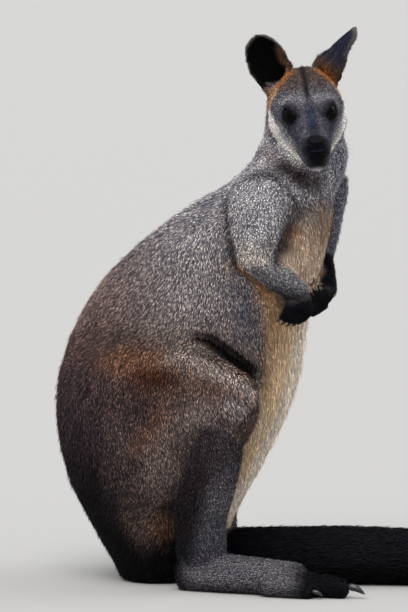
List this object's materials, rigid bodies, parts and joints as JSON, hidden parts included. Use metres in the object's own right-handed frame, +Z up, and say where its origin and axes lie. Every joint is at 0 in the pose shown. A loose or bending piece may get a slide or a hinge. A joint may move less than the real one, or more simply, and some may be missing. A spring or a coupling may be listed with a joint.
{
  "type": "swamp wallaby",
  "caption": "Life-size still model of a swamp wallaby sitting upright on its haunches, tail swung forward between the feet and head turned to its right.",
  "frame": {"origin": "on the floor, under the middle of the whole body's bounding box", "axes": "+Z up; -Y the way the pelvis and the feet face, so +Y is towards the back; -X the animal's right"},
  "size_m": [0.2604, 0.7596, 0.6274],
  "materials": {
    "coat": "coarse dry fur, dark brown grizzled with grey",
    "nose": "bare damp grained skin",
    "eye": "wet dark brown",
    "claw": "dark horn"
  },
  "bodies": {
    "root": {"claw_fifth_toe_left": "claw", "claw_fifth_toe_right": "claw", "claw_finger_1_left": "claw", "claw_finger_1_right": "claw", "claw_finger_2_left": "claw", "claw_finger_2_right": "claw", "claw_finger_3_left": "claw", "claw_finger_3_right": "claw", "claw_finger_4_left": "claw", "claw_finger_4_right": "claw", "claw_finger_5_left": "claw", "claw_finger_5_right": "claw", "claw_fourth_toe_left": "claw", "claw_fourth_toe_right": "claw", "claw_second_toe_left": "claw", "claw_second_toe_right": "claw", "claw_third_toe_left": "claw", "claw_third_toe_right": "claw", "ear_left": "coat", "ear_right": "coat", "eye_left": "eye", "eye_right": "eye", "foot_left": "coat", "foot_right": "coat", "forearm_left": "coat", "forearm_right": "coat", "hand_left": "coat", "hand_right": "coat", "head": "coat", "neck": "coat", "nose": "nose", "shank_left": "coat", "shank_right": "coat", "tail_base": "coat", "tail_middle": "coat", "tail_tip": "coat", "thigh_left": "coat", "thigh_right": "coat", "trunk": "coat", "upper_arm_left": "coat", "upper_arm_right": "coat"}
  },
  "joints": []
}
